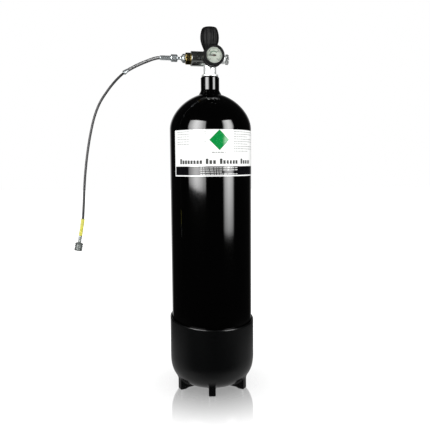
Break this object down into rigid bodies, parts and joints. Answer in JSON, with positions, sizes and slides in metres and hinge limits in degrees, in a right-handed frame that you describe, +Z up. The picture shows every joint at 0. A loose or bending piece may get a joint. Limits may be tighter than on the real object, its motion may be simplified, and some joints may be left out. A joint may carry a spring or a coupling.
{
  "type": "charging cylinder",
  "caption": "Black steel compressed-air cylinder in a footed rubber boot, with a handwheel valve, pressure gauge, bleed knob and flexible fill hose.",
  "frame": {"origin": "on the cylinder's axis at floor level, under the boot's feet", "axes": "+Z up the cylinder's axis, -Y to the front where the label and gauge face, and the hose leaves towards -X"},
  "size_m": [0.3705, 0.18, 0.758],
  "materials": {
    "black_paint": "gloss black enamel over steel",
    "boot_rubber": "moulded black rubber, satin",
    "label_film": "printed white film, satin",
    "chrome": "bright chrome plate",
    "dark_chrome": "dark polished plate",
    "brass": "machined brass",
    "steel": "turned or drawn steel",
    "black_rubber": "moulded black rubber",
    "seat_nylon": "natural nylon",
    "lens": "clear lens",
    "dial": "printed white dial",
    "pointer": "black pointer, brown hub",
    "hose_black": "black thermoplastic hose cover",
    "yellow_sleeve": "translucent yellow sleeve"
  },
  "bodies": {
    "base": {"cylinder": "black_paint", "boot": "boot_rubber", "label": "label_film", "neck_o_ring": "black_rubber", "valve_body": "chrome", "dip_tube": "brass", "bonnet": "chrome", "gauge_stem": "brass", "gauge_case": "steel", "gauge_boot": "black_rubber", "gauge_bezel": "chrome", "gauge_lens": "lens", "gauge_dial": "dial", "bourdon_tube": "brass", "outlet_sleeve": "dark_chrome"},
    "handwheel": {"spindle": "steel", "handwheel_insert": "brass", "handwheel_grip": "black_rubber", "handwheel_washer": "steel", "handwheel_nut": "steel"},
    "seat": {"seat_carrier": "brass", "valve_seat": "seat_nylon"},
    "pointer": {"gauge_pointer": "pointer"},
    "sector": {"gauge_sector": "brass"},
    "bleed_screw": {"bleed_pin": "steel"},
    "bleed_knob": {"bleed_knob": "chrome"},
    "connector": {"connector_nipple": "brass", "connector_o_ring": "black_rubber", "hex_union": "chrome", "hose_nut": "chrome", "hose_ferrule": "chrome", "hose": "hose_black", "spring_guard": "steel", "guard_cap": "chrome", "yellow_sleeve": "yellow_sleeve", "end_crimp": "steel"},
    "connector_nut": {"connector_nut": "brass"},
    "end_nut": {"end_nut": "chrome"}
  },
  "joints": [
    {"name": "handwheel_turn", "type": "hinge", "parent": "base", "child": "handwheel", "pos_m": [0, 0, 0.737], "axis": [0, 0, 1], "range_deg": [0, 720]},
    {"name": "seat_lift", "type": "slide", "parent": "handwheel", "child": "seat", "axis": [0, 0, 1], "range_m": [0, 0.002]},
    {"name": "pointer_turn", "type": "hinge", "parent": "base", "child": "pointer", "pos_m": [0.00859, -0.04417, 0.6934], "axis": [-0.1908, 0.9816, 0], "range_deg": [-45, 225], "stiffness_Nm_per_rad": 0.004},
    {"name": "sector_turn", "type": "hinge", "parent": "base", "child": "sector", "pos_m": [0.00756, -0.03887, 0.6844], "axis": [-0.1908, 0.9816, 0], "range_deg": [-51, 11]},
    {"name": "bleed_travel", "type": "slide", "parent": "base", "child": "bleed_screw", "axis": [0.9816, 0.1908, 0], "range_m": [0, 0.0015]},
    {"name": "bleed_turn", "type": "hinge", "parent": "bleed_screw", "child": "bleed_knob", "pos_m": [0.03534, 0.00687, 0.6942], "axis": [0.9816, 0.1908, 0], "range_deg": [0, 540]},
    {"name": "connector_travel", "type": "slide", "parent": "base", "child": "connector", "axis": [-0.9816, -0.1908, 0], "range_m": [0, 0.01452]},
    {"name": "connector_nut_turn", "type": "hinge", "parent": "connector", "child": "connector_nut", "pos_m": [-0.04516, -0.00878, 0.6942], "axis": [-0.9816, -0.1908, 0], "range_deg": [0, 2880]},
    {"name": "end_nut_swivel", "type": "hinge", "parent": "connector", "child": "end_nut", "pos_m": [-0.2717, -0.05281, 0.31022], "axis": [-0.176, -0.0342, -0.9838], "continuous": true}
  ],
  "couplings": [
    {"joint": "seat_lift", "follows": "handwheel_turn", "m_per_rad": 0.0001591},
    {"joint": "sector_turn", "follows": "pointer_turn", "ratio": -0.225},
    {"joint": "bleed_turn", "follows": "bleed_travel", "rad_per_m": 6283},
    {"joint": "connector_nut_turn", "follows": "connector_travel", "rad_per_m": 3461}
  ]
}
